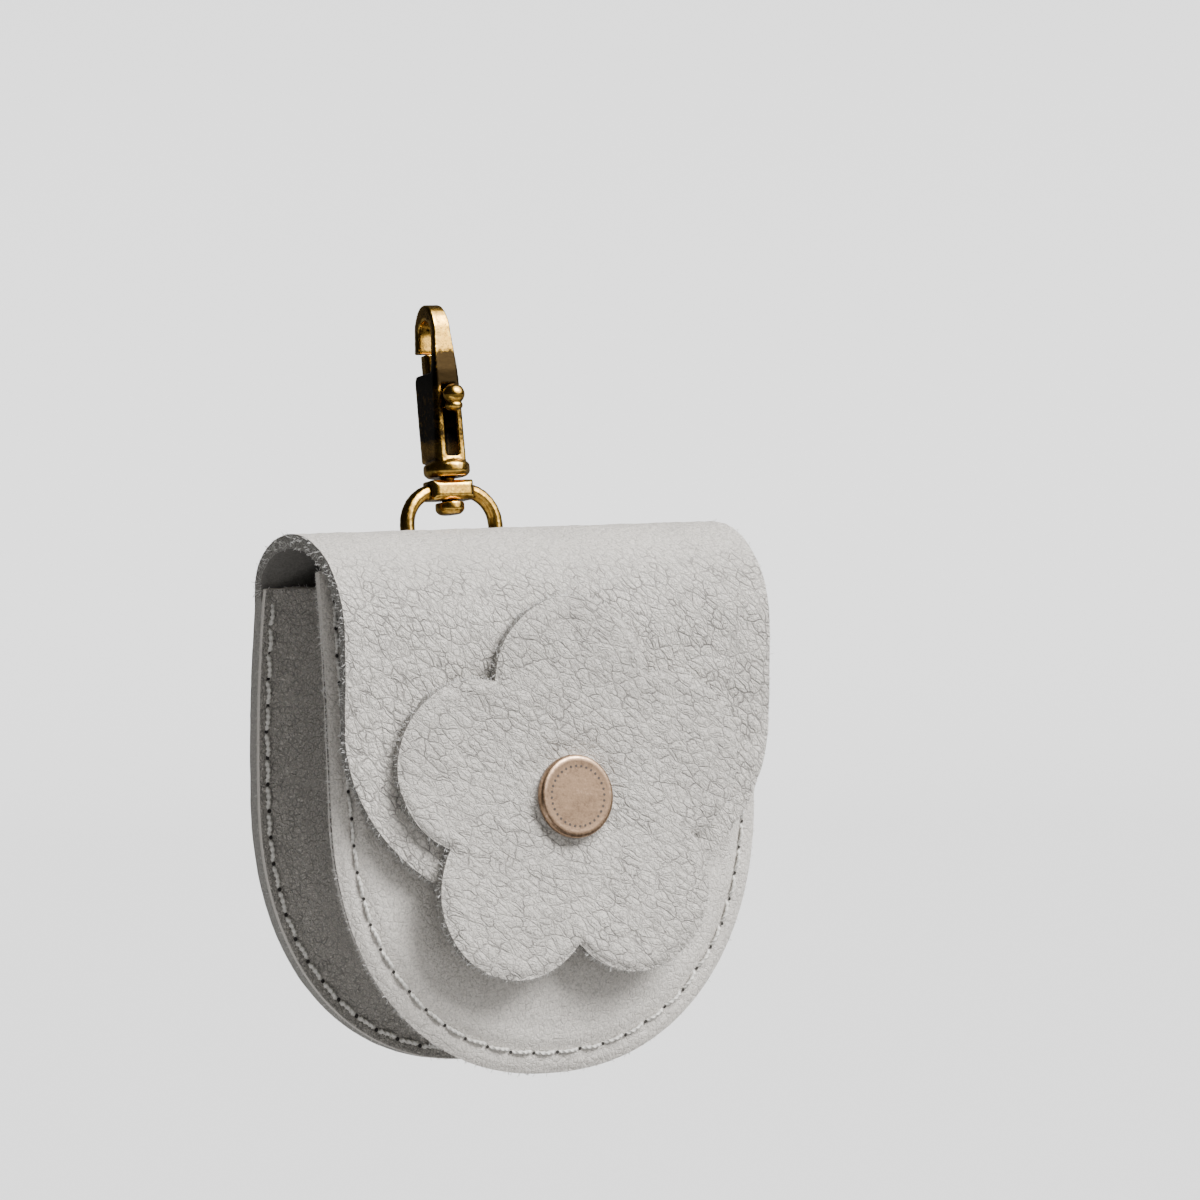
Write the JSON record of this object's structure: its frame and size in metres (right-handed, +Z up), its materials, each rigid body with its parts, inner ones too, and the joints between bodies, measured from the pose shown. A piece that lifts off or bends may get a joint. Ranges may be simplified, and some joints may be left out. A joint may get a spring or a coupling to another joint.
{
  "type": "small leather coin pouch on a swivel trigger hook",
  "caption": "Small hanging pouch of thick pebbled leather with a rounded flap, a leather flower held by a snap, a sewn channel gusset and a swivel trigger hook.",
  "frame": {"origin": "inner top of the hook's crook, where the pouch hangs from a ring", "axes": "+Z up, -Y forwards out of the flap and the flower, +X to the wearer's left, which is the right in a front view"},
  "size_m": [0.073, 0.0469, 0.1168],
  "materials": {
    "panel_leather": "pale warm grey, full grain, pebbled, satin",
    "flower_leather": "pale warm grey, deeply pebbled, satin",
    "snap_metal": "antique copper, brushed, with a dark engraved ring",
    "hook_metal": "antique brass, worn bright on edges, dark in the recesses"
  },
  "bodies": {
    "hook": {"hook_body": "hook_metal"},
    "gate": {"gate_bolt": "hook_metal"},
    "eye": {"swivel_eye": "hook_metal"},
    "pouch": {"back_and_flap": "panel_leather", "front_panel": "panel_leather", "gusset": "panel_leather", "flower": "flower_leather", "hang_tab": "panel_leather", "snap_cap": "snap_metal"}
  },
  "joints": [
    {"name": "gate_slide", "type": "slide", "parent": "hook", "child": "gate", "axis": [0, -0.1305, -0.9914], "range_m": [0, 0.0042], "stiffness_N_per_m": 300, "springref_m": -0.003},
    {"name": "swivel", "type": "hinge", "parent": "hook", "child": "eye", "pos_m": [0, 0, 0], "axis": [0, 0.1305, 0.9914], "continuous": true},
    {"name": "tab_swing", "type": "hinge", "parent": "eye", "child": "pouch", "pos_m": [0, -0.0049, -0.03718], "axis": [1, 0, 0], "range_deg": [-45, 140]}
  ]
}
